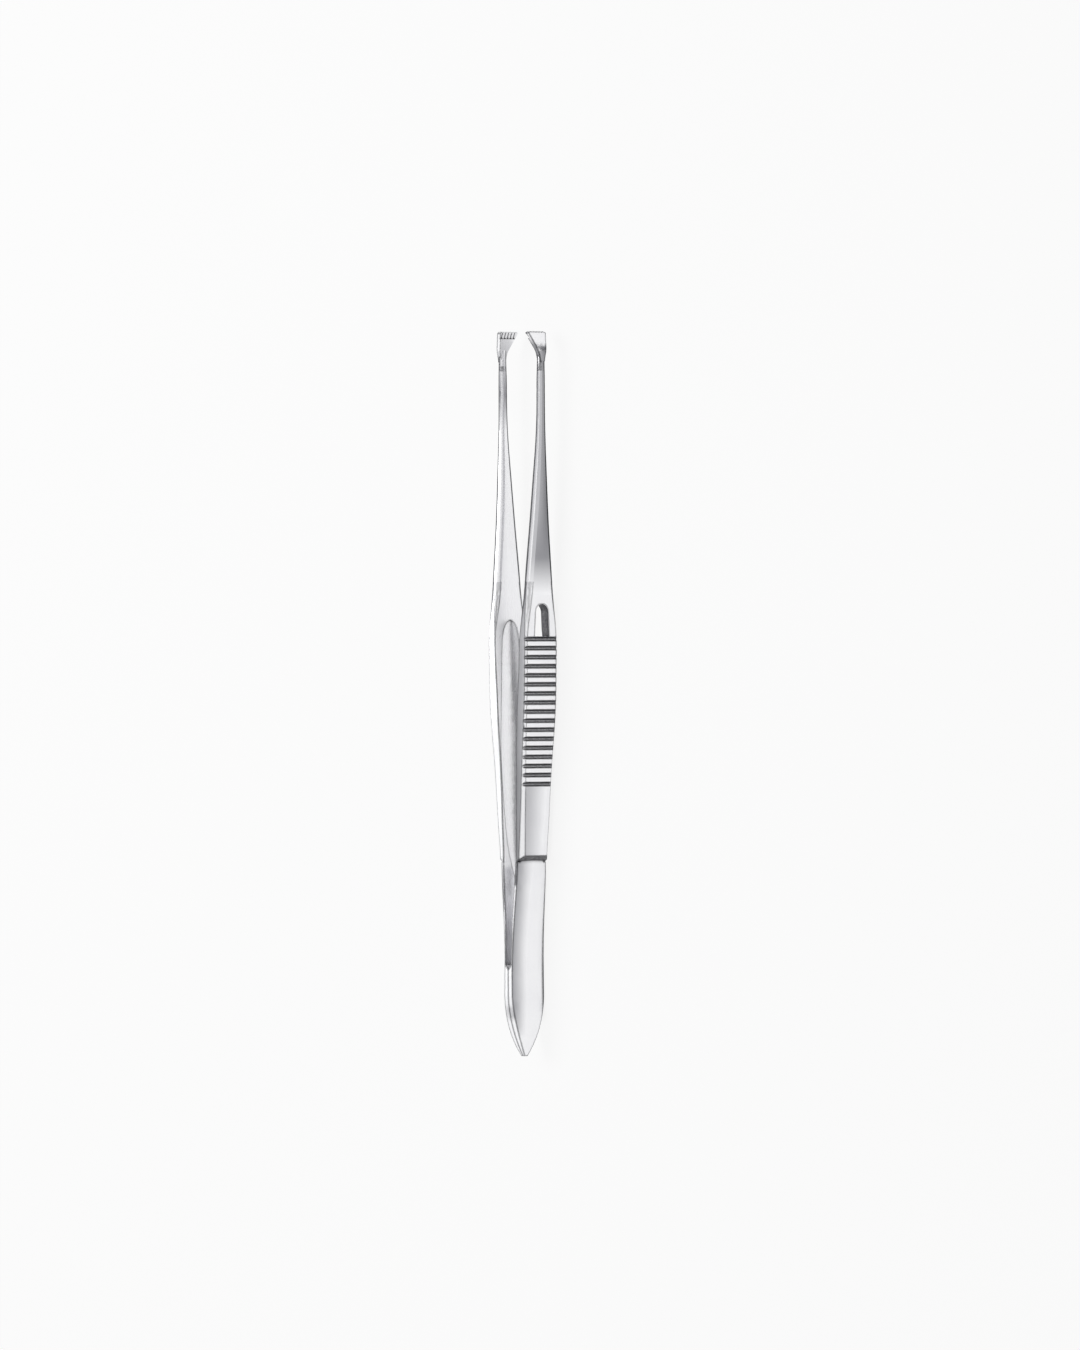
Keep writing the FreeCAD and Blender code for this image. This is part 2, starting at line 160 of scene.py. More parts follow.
@dataclass(frozen=True)
class PolishedStainlessSteel:
    """Hardened stainless steel, forged, ground, and polished on a fine wheel.

    It gives the eye a bright, nearly colourless mirror that is a little soft, with faint
    hair lines left by the wheel. The wheel misses the grooves, the window and the step, so
    these stay rougher, and their darker colour is painted shade. A thin dark line of painted
    reflection runs along the edges and on rims that turn away.
    """

    bright_tint: str = "fbfbfc"
    cloud_tint: str = "eeeef1"
    # Painted shade for grooves, cross faces and the window's walls.
    raw_shade_tint: str = "4b4b4e"
    # Painted dark reflection along the edges and on rims that turn away.
    dark_reflection_tint: str = "4e4f52"
    roughness_bright: float = 0.18
    roughness_satin: float = 0.26
    roughness_raw: float = 0.48
    cloud_size_mm: float = 7.0
    cloud_detail: float = 3.0
    cloud_roughness: float = 0.025
    cloud_roughness_detail: float = 1.0
    speckle_size_mm: float = 0.25
    speckle_least: float = 0.8

    # A wheel's lines are about 0.02 mm wide. They are drawn wider, so that they show.
    hair_line_width_mm: float = 0.2
    hair_line_length_mm: float = 9.0
    hair_line_depth_mm: float = 0.002
    hair_line_strength: float = 0.45
    hair_line_roughness: float = 0.035

    # The metal is left unpolished and painted in shade where little of what lies within reach
    # is open, as a share from 0 to 1.
    recess_samples: int = 5
    recess_reach_mm: float = 0.7
    jaw_recess_reach_mm: float = 0.25
    recess_begins: float = 0.92
    recess_full: float = 0.78

    # These tell how squarely a face looks one way, as a part of its normal from -1 to 1.
    cross_face_begins: float = 0.55
    cross_face_full: float = 0.75
    window_wall_most: float = 0.5
    broad_face_least: float = 0.3
    satin_begins: float = -0.2
    satin_full: float = -0.6
    slant_begins: float = 0.06
    slant_full: float = 0.2
    rim_begins: float = 0.25
    rim_full: float = 0.45

    # An edge's painted dark line shows where the rounded and the true normal differ, by their cosine.
    edge_samples: int = 4
    edge_width_mm: float = 0.34
    groove_edge_width_mm: float = 0.22
    window_edge_width_mm: float = 0.45
    edge_begins: float = 0.998
    edge_full: float = 0.988

    def material(self, marks: Landmarks) -> bpy.types.Material:
        """Build the material.

        Args:
            marks: where the grooves, the window, the scoop, the shaft and the jaws lie.

        Returns:
            A procedural metal whose patterns are measured in millimetres.
        """
        made = bpy.data.materials.new("polished_stainless_steel")
        made.use_nodes = True
        tree = made.node_tree
        tree.nodes.clear()
        surface = LimbSurface(tree, add_node(tree, "ShaderNodeTexCoord").outputs["Object"],
                              add_node(tree, "ShaderNodeNewGeometry").outputs["Normal"])
        in_jaws = surface.ahead_of(marks.jaws_rear)
        at_window = self._at_window(surface, marks)
        hair = self._hair_lines(surface)
        raw_and_shade = self._raw_and_shade(surface, in_jaws, at_window)
        edge = self._edge_reflection(surface, marks, in_jaws, at_window)
        rim = self._rims(surface, marks)
        bump = add_node(tree, "ShaderNodeBump", None, {
            "Strength": self.hair_line_strength, "Distance": self.hair_line_depth_mm * MM,
            "Height": hair})
        shader = add_node(tree, "ShaderNodeBsdfPrincipled", None, {
            "Base Color": self._colour(surface, raw_and_shade, edge, rim), "Metallic": 1.0,
            "Roughness": self._roughness(surface, hair, raw_and_shade), "Normal": bump.outputs["Normal"]})
        add_node(tree, "ShaderNodeOutputMaterial", None, {"Surface": shader.outputs["BSDF"]})
        return made

    def _at_window(self, surface: LimbSurface, marks: Landmarks) -> bpy.types.NodeSocket:
        """Mark the window, whose punched walls are left unpolished and painted in shade.

        Args:
            surface: the spot's place and facing.
            marks: where the window lies.

        Returns:
            A socket that is 1 in and just round the window.
        """
        spot = add_node(surface.tree, "ShaderNodeSeparateXYZ", None, {0: surface.place})
        near_middle = add_node(surface.tree, "ShaderNodeMath", {"operation": "COMPARE"}, {
            0: spot.outputs["Z"], 1: MIDDLE_HEIGHT, 2: marks.window_half_width * MM})
        both = add_node(surface.tree, "ShaderNodeMath", {"operation": "MULTIPLY"}, {
            0: surface.between(marks.window_rear, marks.window_front), 1: near_middle.outputs[0]})
        return both.outputs[0]

    def _hair_lines(self, surface: LimbSurface) -> bpy.types.NodeSocket:
        """Draw the fine lines that the polishing wheel leaves along a limb.

        Args:
            surface: the spot's place and facing.

        Returns:
            Their height, from 0 to 1.
        """
        thin = 1 / (self.hair_line_width_mm * MM)
        long = 1 / (self.hair_line_length_mm * MM)
        stretched = add_node(surface.tree, "ShaderNodeVectorMath", {"operation": "MULTIPLY"},
                             {0: surface.place, 1: (thin, long, thin)})
        lines = add_node(surface.tree, "ShaderNodeTexNoise", None, {
            "Vector": stretched.outputs[0], "Scale": 1.0})
        return lines.outputs["Fac"]

    def _raw_and_shade(self, surface: LimbSurface, in_jaws: bpy.types.NodeSocket,
             at_window: bpy.types.NodeSocket) -> bpy.types.NodeSocket:
        """Mark where the wheel doesn't reach, which is left rougher and painted in shade.

        Args:
            surface: the spot's place and facing.
            in_jaws: 1 in the jaws, whose cross faces are polished.
            at_window: 1 round the window.

        Returns:
            A socket that is 1 in grooves, on narrow cross faces and on the window's walls.
        """
        tree = surface.tree
        reach = add_node(tree, "ShaderNodeMix", {"data_type": "FLOAT"}, {
            0: in_jaws, 2: self.recess_reach_mm * MM, 3: self.jaw_recess_reach_mm * MM})
        # Painted shade: darker where an occlusion test finds the spot in a recess.
        recess = add_node(tree, "ShaderNodeAmbientOcclusion", {"samples": self.recess_samples}, {
            "Distance": reach.outputs[0]})
        deep = add_node(tree, "ShaderNodeMapRange", None, {
            "Value": recess.outputs["AO"], "From Min": self.recess_begins,
            "From Max": self.recess_full})
        facing = add_node(tree, "ShaderNodeSeparateXYZ", None, {0: surface.normal})
        along = add_node(tree, "ShaderNodeMath", {"operation": "ABSOLUTE"}, {0: facing.outputs["Y"]})
        # Painted shade on faces that look along the limb.
        cross = add_node(tree, "ShaderNodeMapRange", None, {
            "Value": along.outputs[0], "From Min": self.cross_face_begins,
            "From Max": self.cross_face_full})
        ground = add_node(tree, "ShaderNodeMath", {"operation": "SUBTRACT", "use_clamp": True},
                          {0: cross.outputs[0], 1: in_jaws})
        recess_or_cross = add_node(tree, "ShaderNodeMath", {"operation": "MAXIMUM"},
                                   {0: deep.outputs[0], 1: ground.outputs[0]})
        # Painted shade on the window's upright walls.
        upright = add_node(tree, "ShaderNodeMath", {"operation": "COMPARE"}, {
            0: facing.outputs["X"], 1: 0.0, 2: self.window_wall_most})
        wall = add_node(tree, "ShaderNodeMath", {"operation": "MULTIPLY"},
                        {0: at_window, 1: upright.outputs[0]})
        raw_and_shade = add_node(tree, "ShaderNodeMath", {"operation": "MAXIMUM"},
                       {0: recess_or_cross.outputs[0], 1: wall.outputs[0]})
        return raw_and_shade.outputs[0]

    def _edge_width(self, surface: LimbSurface, marks: Landmarks,
                    at_window: bpy.types.NodeSocket) -> bpy.types.NodeSocket:
        """Work out the width of an edge's line: thin between the grooves, wide at the window.

        Args:
            surface: the spot's place and facing.
            marks: where the grooves lie.
            at_window: 1 round the window.

        Returns:
            The width in metres.
        """
        tree = surface.tree
        outwards = add_node(tree, "ShaderNodeMath", {"operation": "GREATER_THAN"}, {
            0: surface.facing_out(), 1: self.broad_face_least})
        grooved = add_node(tree, "ShaderNodeMath", {"operation": "MULTIPLY"}, {
            0: surface.between(marks.grooves_rear, marks.window_rear), 1: outwards.outputs[0]})
        plain = add_node(tree, "ShaderNodeMix", {"data_type": "FLOAT"}, {
            0: grooved.outputs[0], 2: self.edge_width_mm * MM, 3: self.groove_edge_width_mm * MM})
        width = add_node(tree, "ShaderNodeMix", {"data_type": "FLOAT"}, {
            0: at_window, 2: plain.outputs[0], 3: self.window_edge_width_mm * MM})
        return width.outputs[0]

    def _edge_reflection(self, surface: LimbSurface, marks: Landmarks, in_jaws: bpy.types.NodeSocket,
               at_window: bpy.types.NodeSocket) -> bpy.types.NodeSocket:
        """Mark the painted dark reflection along each edge, but not between the teeth or on the round
        shaft.

        Args:
            surface: the spot's place and facing.
            marks: where the grooves and the shaft lie.
            in_jaws: 1 in the jaws.
            at_window: 1 round the window.

        Returns:
            A socket that is 1 on the painted line and 0 elsewhere.
        """
        tree = surface.tree
        # Painted dark reflection: a line where a rounded normal differs from the true one.
        rounded = add_node(tree, "ShaderNodeBevel", {"samples": self.edge_samples}, {
            "Radius": self._edge_width(surface, marks, at_window)})
        same = add_node(tree, "ShaderNodeVectorMath", {"operation": "DOT_PRODUCT"},
                        {0: surface.normal, 1: rounded.outputs["Normal"]})
        edge = add_node(tree, "ShaderNodeMapRange", None, {
            "Value": same.outputs["Value"], "From Min": self.edge_begins,
            "From Max": self.edge_full})
        inwards = add_node(tree, "ShaderNodeMath", {"operation": "LESS_THAN"}, {
            0: surface.facing_out(), 1: -self.broad_face_least})
        teeth = add_node(tree, "ShaderNodeMath", {"operation": "MULTIPLY"},
                         {0: inwards.outputs[0], 1: in_jaws})
        edgeless = add_node(tree, "ShaderNodeMath", {"operation": "MAXIMUM"}, {
            0: teeth.outputs[0], 1: surface.between(marks.shaft_rear, marks.shaft_front)})
        kept = add_node(tree, "ShaderNodeMath", {"operation": "SUBTRACT", "use_clamp": True},
                        {0: edge.outputs[0], 1: edgeless.outputs[0]})
        return kept.outputs[0]

    def _rims(self, surface: LimbSurface, marks: Landmarks) -> bpy.types.NodeSocket:
        """Mark where a round side turns away, to paint there the dark of the room that it would mirror.

        Args:
            surface: the spot's place and facing.
            marks: where the scoop ends.

        Returns:
            A socket that is 1 on such a rim, and 0 on flat faces and in the scoop.
        """
        tree = surface.tree
        # Painted dark reflection on rims that turn away from the view.
        turned = add_node(tree, "ShaderNodeLayerWeight")
        away = add_node(tree, "ShaderNodeMapRange", {"interpolation_type": "SMOOTHSTEP"}, {
            "Value": turned.outputs["Facing"], "From Min": self.rim_begins,
            "From Max": self.rim_full})
        facing = add_node(tree, "ShaderNodeSeparateXYZ", None, {0: surface.normal})
        product = add_node(tree, "ShaderNodeMath", {"operation": "MULTIPLY"},
                           {0: facing.outputs["X"], 1: facing.outputs["Z"]})
        size = add_node(tree, "ShaderNodeMath", {"operation": "ABSOLUTE"}, {0: product.outputs[0]})
        slanted = add_node(tree, "ShaderNodeMapRange", None, {
            "Value": size.outputs[0], "From Min": self.slant_begins, "From Max": self.slant_full})
        rim = add_node(tree, "ShaderNodeMath", {"operation": "MULTIPLY"},
                       {0: away.outputs[0], 1: slanted.outputs[0]})
        inwards = add_node(tree, "ShaderNodeMath", {"operation": "LESS_THAN"}, {
            0: surface.facing_out(), 1: -self.broad_face_least})
        hollow = add_node(tree, "ShaderNodeMath", {"operation": "SUBTRACT", "use_clamp": True}, {
            0: inwards.outputs[0], 1: surface.ahead_of(marks.scoop_front)})
        kept = add_node(tree, "ShaderNodeMath", {"operation": "SUBTRACT", "use_clamp": True},
                        {0: rim.outputs[0], 1: hollow.outputs[0]})
        return kept.outputs[0]

    def _colour(self, surface: LimbSurface, raw_and_shade: bpy.types.NodeSocket,
                edge: bpy.types.NodeSocket, rim: bpy.types.NodeSocket) -> bpy.types.NodeSocket:
        """Mix the colours: bright metal, painted dark reflection on edges and rims, and speckled
        painted shade where the wheel doesn't reach.

        Args:
            surface: the spot's place and facing.
            raw_and_shade: 1 where the wheel doesn't reach and shade is painted.
            edge: 1 on the painted dark line along an edge.
            rim: 1 on a rim that turns away.

        Returns:
            The base colour.
        """
        tree = surface.tree
        drift = add_node(tree, "ShaderNodeTexNoise", None, {
            "Vector": surface.place, "Scale": 1 / (self.cloud_size_mm * MM),
            "Detail": self.cloud_detail})
        uneven = add_node(tree, "ShaderNodeMix", {"data_type": "RGBA"}, {
            0: drift.outputs["Fac"], 6: linear_colour(self.bright_tint),
            7: linear_colour(self.cloud_tint)})
        # Painted dark reflection along edges and on rims.
        line = add_node(tree, "ShaderNodeMath", {"operation": "MAXIMUM"}, {0: edge, 1: rim})
        edged = add_node(tree, "ShaderNodeMix", {"data_type": "RGBA"}, {
            0: line.outputs[0], 6: uneven.outputs[2], 7: linear_colour(self.dark_reflection_tint)})
        speckle = add_node(tree, "ShaderNodeTexNoise", None, {
            "Vector": surface.place, "Scale": 1 / (self.speckle_size_mm * MM)})
        depth = add_node(tree, "ShaderNodeMapRange", None, {
            "Value": speckle.outputs["Fac"], "From Min": NOISE_LOW, "From Max": NOISE_HIGH,
            "To Min": self.speckle_least, "To Max": 1.0})
        amount = add_node(tree, "ShaderNodeMath", {"operation": "MULTIPLY"},
                          {0: raw_and_shade, 1: depth.outputs[0]})
        # Painted shade, speckled, where the wheel doesn't reach.
        mixed = add_node(tree, "ShaderNodeMix", {"data_type": "RGBA"}, {
            0: amount.outputs[0], 6: edged.outputs[2], 7: linear_colour(self.raw_shade_tint)})
        return mixed.outputs[2]

    def _roughness(self, surface: LimbSurface, hair: bpy.types.NodeSocket,
                   raw_and_shade: bpy.types.NodeSocket) -> bpy.types.NodeSocket:
        """Mix the roughness: bright outside, satin inside, rough where the wheel doesn't reach.

        Args:
            surface: the spot's place and facing.
            hair: height of the hair lines.
            raw_and_shade: 1 where the wheel doesn't reach.

        Returns:
            The roughness.
        """
        tree = surface.tree
        base = add_node(tree, "ShaderNodeMapRange", None, {
            "Value": surface.facing_out(), "From Min": self.satin_begins,
            "From Max": self.satin_full, "To Min": self.roughness_bright,
            "To Max": self.roughness_satin})
        drift = add_node(tree, "ShaderNodeTexNoise", None, {
            "Vector": surface.place, "Scale": 1 / (self.cloud_size_mm * MM),
            "Detail": self.cloud_roughness_detail})
        clouds = add_node(tree, "ShaderNodeMapRange", None, {
            "Value": drift.outputs["Fac"], "From Min": NOISE_LOW, "From Max": NOISE_HIGH,
            "To Min": -self.cloud_roughness, "To Max": self.cloud_roughness})
        lines = add_node(tree, "ShaderNodeMapRange", None, {
            "Value": hair, "From Min": NOISE_LOW, "From Max": NOISE_HIGH,
            "To Min": -self.hair_line_roughness, "To Max": self.hair_line_roughness})
        clouded = add_node(tree, "ShaderNodeMath", {"operation": "ADD"},
                           {0: base.outputs[0], 1: clouds.outputs[0]})
        lined = add_node(tree, "ShaderNodeMath", {"operation": "ADD"},
                         {0: clouded.outputs[0], 1: lines.outputs[0]})
        mixed = add_node(tree, "ShaderNodeMix", {"data_type": "FLOAT"},
                         {0: raw_and_shade, 2: lined.outputs[0], 3: self.roughness_raw})
        return mixed.outputs[0]


@dataclass(frozen=True)
class Limb:
    """One forged limb, which the frame holds as a node."""

    node: str

    def dress(self, steel: bpy.types.Material) -> None:
        """Give the limb its finish.

        Args:
            steel: the finish that both limbs share.
        """
        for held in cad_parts[self.node].material_slots:
            held.material = steel
        LOG.info("dressed %s", self.node)


@dataclass(frozen=True)
class Forceps:
    """The instrument: a near and a far limb that are welded at the butt."""

    marks: Landmarks
    near: Limb = Limb("right_limb")
    far: Limb = Limb("left_limb")
    finish: PolishedStainlessSteel = PolishedStainlessSteel()

    def dress(self) -> None:
        """Give both limbs the same finish, as they are polished together."""
        steel = self.finish.material(self.marks)
        for limb in (self.near, self.far):
            limb.dress(steel)


def seen_or_mirrored(tree: bpy.types.NodeTree) -> bpy.types.NodeSocket:
    """Tell rays that show a surface from rays that it lights.

    Args:
        tree: the node tree to add to.

    Returns:
        A socket that is 1 for camera, glossy and transmission rays, and 0 for others.
    """
    path = add_node(tree, "ShaderNodeLightPath")
    first = add_node(tree, "ShaderNodeMath", {"operation": "MAXIMUM"}, {
        0: path.outputs["Is Camera Ray"], 1: path.outputs["Is Glossy Ray"]})
    both = add_node(tree, "ShaderNodeMath", {"operation": "MAXIMUM"}, {
        0: first.outputs[0], 1: path.outputs["Is Transmission Ray"]})
    return both.outputs[0]


@dataclass(frozen=True)
class MattWhiteLaminate:
    """Matt white laminate sheet: reads as plain white and keeps a soft, light shadow."""

    tint: str = "fafafa"
    own_light: float = 1.0
    shadow_share: float = 0.16
    fleck_size_mm: float = 0.8
    roughness_least: float = 0.75
    roughness_most: float = 0.95
    sheen: float = 0.1

    def material(self) -> bpy.types.Material:
        """Build the material: mostly white by itself, the rest lit and shadowed.

        Returns:
            The floor's material.
        """
        made = bpy.data.materials.new("matt_white_laminate")
        made.use_nodes = True
        tree = made.node_tree
        tree.nodes.clear()
        place = add_node(tree, "ShaderNodeTexCoord").outputs["Object"]
        flecks = add_node(tree, "ShaderNodeTexNoise", None, {
            "Vector": place, "Scale": 1 / (self.fleck_size_mm * MM)})
        rough = add_node(tree, "ShaderNodeMapRange", None, {
            "Value": flecks.outputs["Fac"], "To Min": self.roughness_least,
            "To Max": self.roughness_most})
        matt = add_node(tree, "ShaderNodeBsdfPrincipled", None, {
            "Base Color": linear_colour(self.tint), "Roughness": rough.outputs[0],
            "Specular IOR Level": self.sheen})
        glow = add_node(tree, "ShaderNodeEmission", None, {
            "Color": linear_colour("ffffff"), "Strength": self.own_light})
        share = add_node(tree, "ShaderNodeMath", {"operation": "MULTIPLY"},
                         {0: seen_or_mirrored(tree), 1: 1 - self.shadow_share})
        mixed = add_node(tree, "ShaderNodeMixShader", None, {
            0: share.outputs[0], 1: matt.outputs["BSDF"], 2: glow.outputs["Emission"]})
        add_node(tree, "ShaderNodeOutputMaterial", None, {"Surface": mixed.outputs["Shader"]})
        return made


class Grey(Enum):
    """Greys of the cards that the steel mirrors, as sRGB hex values."""

    WHITE = "ffffff"
    PALE = "dededf"
    LIGHT = "c6c6c8"
    MIDDLE = "99999c"
    DIM = "7a7a7d"
    DARK = "505053"


@dataclass(frozen=True)
class Card:
    """Flat paper card beside the instrument. It only shows in the steel's reflections.

    Its edges run along the instrument, and each is given as millimetres sideways and up.
    Two shades run from the near edge to the far one. With four of them the first two hold
    at the rear end and the last two at the front end.
    """

    name: str
    stations_mm: tuple[float, float]
    near_mm: tuple[float, float]
    far_mm: tuple[float, float]
    shades: tuple[Grey, ...]
    one_sided: bool = False

    def build(self) -> None:
        """Make the card, seen by nothing but the steel."""
        rear, front = (BUTT + station * MM for station in self.stations_mm)
        near_x, near_z = (value * MM for value in self.near_mm)
        far_x, far_z = (value * MM for value in self.far_mm)
        corners = [(near_x, rear, near_z), (far_x, rear, far_z),
                   (far_x, front, far_z), (near_x, front, near_z)]
        mesh = bpy.data.meshes.new(self.name)
        mesh.from_pydata(corners, [], [(0, 1, 2, 3)])
        across = mesh.uv_layers.new(name="across")
        for corner, spot in zip(across.data, ((0, 0), (1, 0), (1, 1), (0, 1))):
            corner.uv = spot
        card = bpy.data.objects.new(self.name, mesh)
        bpy.context.scene.collection.objects.link(card)
        mesh.materials.append(self._paper())
        card.visible_camera = False
        card.visible_diffuse = False
        card.visible_shadow = False
        LOG.info("placed %s", self.name)

    def _paper(self) -> bpy.types.Material:
        """Build plain paper with a soft change of grey between its corners.

        Returns:
            The card's material, clear from behind on a one-sided card.
        """
        paper = bpy.data.materials.new(self.name + "_paper")
        paper.use_nodes = True
        tree = paper.node_tree
        tree.nodes.clear()
        spot = add_node(tree, "ShaderNodeTexCoord").outputs["UV"]
        parts = add_node(tree, "ShaderNodeSeparateXYZ", None, {0: spot})
        four = (self.shades * 2)[:4]
        rear_near, rear_far, front_near, front_far = (linear_colour(shade.value) for shade in four)
        rear = add_node(tree, "ShaderNodeMix", {"data_type": "RGBA"}, {
            0: parts.outputs["X"], 6: rear_near, 7: rear_far})
        front = add_node(tree, "ShaderNodeMix", {"data_type": "RGBA"}, {
            0: parts.outputs["X"], 6: front_near, 7: front_far})
        shade = add_node(tree, "ShaderNodeMix", {"data_type": "RGBA"}, {
            0: parts.outputs["Y"], 6: rear.outputs[2], 7: front.outputs[2]})
        glow = add_node(tree, "ShaderNodeEmission", None, {"Color": shade.outputs[2]})
        behind = add_node(tree, "ShaderNodeNewGeometry").outputs["Backfacing"]
        clear = add_node(tree, "ShaderNodeMath", {"operation": "MULTIPLY"},
                         {0: behind, 1: float(self.one_sided)})
        nothing = add_node(tree, "ShaderNodeBsdfTransparent")
        mixed = add_node(tree, "ShaderNodeMixShader", None, {
            0: clear.outputs[0], 1: glow.outputs[0], 2: nothing.outputs[0]})
        add_node(tree, "ShaderNodeOutputMaterial", None, {"Surface": mixed.outputs[0]})
        return paper


def floor_card(name: str, stations_mm: tuple[float, float], edges_mm: tuple[float, float],
               *shades: Grey) -> Card:
    """Lay a card on the floor.

    Args:
        name: name of the card.
        stations_mm: its rear and front end, from the butt.
        edges_mm: its near and far edge, sideways from the middle of the instrument.
        shades: two or four shades.

    Returns:
        The card, just above the floor.
    """
    rise_mm = 0.05
    return Card(name, stations_mm, (edges_mm[0], rise_mm), (edges_mm[1], rise_mm), shades)


def hung_card(name: str, stations_mm: tuple[float, float], edges_mm: tuple[float, float],
              away_mm: float, *shades: Grey) -> Card:
    """Hang a card to the left of the limbs, edge-on to the camera.

    Args:
        name: name of the card.
        stations_mm: its rear and front end, from the butt.
        edges_mm: its near and far edge, counted from the origin towards the camera.
        away_mm: how far to the left it hangs.
        shades: two or four shades.

    Returns:
        The card.
    """
    turn = math.radians(VIEW_TURN_DEGREES)
    near, far = ((edge * math.cos(turn) - away_mm * math.sin(turn),
                  edge * math.sin(turn) + away_mm * math.cos(turn)) for edge in edges_mm)
    return Card(name, stations_mm, near, far, shades)


@dataclass(frozen=True)
class OuterFaceCards:
    """Cards at the right, which show in the outer face of the near limb."""

    marks: Landmarks
    leaf_rear_mm: float = 2.0
    lap_mm: float = 0.3
    shoulder_rear_mm: float = 70.0
    shaft_rear_mm: float = 75.5
    shaft_middle_mm: float = 84.0
    shaft_front_mm: float = 108.5
    leaf_edges_mm: tuple[float, float, float] = (5.0, 10.5, 30.0)
    panel_edges_mm: tuple[float, float] = (4.6, 10.0)
    shoulder_edges_mm: tuple[float, float] = (3.0, 20.0)
    shaft_edges_mm: tuple[float, float, float, float] = (3.0, 6.2, 9.2, 25.0)
    upright_mm: float = 7.0
    upright_low_mm: float = 3.0
    upright_high_mm: float = 9.0
    upright_middle_mm: float = 76.0
    upright_front_mm: float = 108.0
    jaw_steps: int = 4
    jaw_first_edge_mm: float = 4.6
    jaw_step_width_mm: float = 0.8
    jaw_first_length_mm: float = 0.4
    jaw_step_length_mm: float = 0.85

    def leaf(self) -> list[Card]:
        """Shade the leaf and the plain panel: white close to the limbs, grey further out.

        Returns:
            Three cards on the floor.
        """
        near, middle, far = self.leaf_edges_mm
        leaf = (self.leaf_rear_mm, self.marks.step)
        panel = (self.marks.step, self.marks.grooves_rear + self.lap_mm)
        return [
            floor_card("leaf_card", leaf, (near, middle), Grey.WHITE, Grey.MIDDLE),
            floor_card("leaf_outer_card", leaf, (middle, far), Grey.MIDDLE, Grey.LIGHT),
            floor_card("panel_card", panel, self.panel_edges_mm, Grey.WHITE, Grey.MIDDLE),
        ]

    def shaft(self) -> list[Card]:
        """Shade the shoulder and the round shaft: dark close to the limbs, paler further out.

        Returns:
            Five cards on the floor.
        """
        first, second, third, last = self.shaft_edges_mm
        shoulder = (self.shoulder_rear_mm, self.shaft_rear_mm)
        rear = (self.shaft_rear_mm, self.shaft_middle_mm)
        front = (self.shaft_middle_mm, self.shaft_front_mm)
        whole = (self.shaft_rear_mm, self.shaft_front_mm)
        return [
            floor_card("shoulder_card", shoulder, self.shoulder_edges_mm,
                       Grey.WHITE, Grey.WHITE, Grey.MIDDLE, Grey.MIDDLE),
            floor_card("shaft_under_card", whole, (first, second),
                       Grey.MIDDLE, Grey.MIDDLE, Grey.DARK, Grey.DARK),
            floor_card("shaft_rear_card", rear, (second, third),
                       Grey.MIDDLE, Grey.MIDDLE, Grey.DARK, Grey.LIGHT),
            floor_card("shaft_card", front, (second, third), Grey.DARK, Grey.LIGHT),
            floor_card("shaft_outer_card", whole, (third, last),
                       Grey.MIDDLE, Grey.LIGHT, Grey.LIGHT, Grey.PALE),
        ]

    def shaft_side(self) -> list[Card]:
        """Shade the right side of the shaft.

        Returns:
            Two upright cards in a row.
        """
        low = (self.upright_mm, self.upright_low_mm)
        high = (self.upright_mm, self.upright_high_mm)
        rear = (self.shoulder_rear_mm, self.upright_middle_mm)
        front = (self.upright_middle_mm, self.upright_front_mm)
        return [
            Card("shaft_right_card", rear, low, high,
                 (Grey.WHITE, Grey.WHITE, Grey.LIGHT, Grey.LIGHT)),
            Card("shaft_right_front_card", front, low, high, (Grey.LIGHT, Grey.LIGHT)),
        ]

    def jaw_root(self) -> list[Card]:
        """Shade the root of the jaw with steps that reach further towards the outside.

        Returns:
            Dark cards in front of the shaft's cards.
        """
        made = []
        for number in range(self.jaw_steps):
            near = self.jaw_first_edge_mm + number * self.jaw_step_width_mm
            length = self.jaw_first_length_mm + number * self.jaw_step_length_mm
            made.append(floor_card(
                f"jaw_card_{number}", (self.shaft_front_mm, self.shaft_front_mm + length),
                (near, near + self.jaw_step_width_mm),
                Grey.DARK, Grey.DARK, Grey.MIDDLE, Grey.MIDDLE))
        return made

    def cards(self) -> list[Card]:
        """All cards of the outer face."""
        return self.leaf() + self.shaft() + self.shaft_side() + self.jaw_root()


@dataclass(frozen=True)
class NeckCards:
    """Cards that show in the neck of the far limb, darkest half way along them."""

    rear_mm: float = 95.0
    middle_mm: float = 101.0
    front_mm: float = 107.0
    floor_edges_mm: tuple[float, float] = (-4.0, 2.0)
    hung_edges_mm: tuple[float, float] = (-2.0, 1.2)
    away_mm: float = 6.0

    def cards(self) -> list[Card]:
        """Shade the inner face from the floor and the narrow side from the left.

        Returns:
            Two cards on the floor and two that hang.
        """
        rear = (self.rear_mm, self.middle_mm)
        front = (self.middle_mm, self.front_mm)
        to_dim = (Grey.WHITE, Grey.WHITE, Grey.DIM, Grey.DIM)
        to_pale = (Grey.MIDDLE, Grey.MIDDLE, Grey.PALE, Grey.PALE)
        return [
            floor_card("neck_rear_card", rear, self.floor_edges_mm, *to_dim),
            floor_card("neck_front_card", front, self.floor_edges_mm, *to_pale),
            hung_card("neck_side_rear_card", rear, self.hung_edges_mm, self.away_mm, *to_dim),
            hung_card("neck_side_front_card", front, self.hung_edges_mm, self.away_mm, *to_pale),
        ]


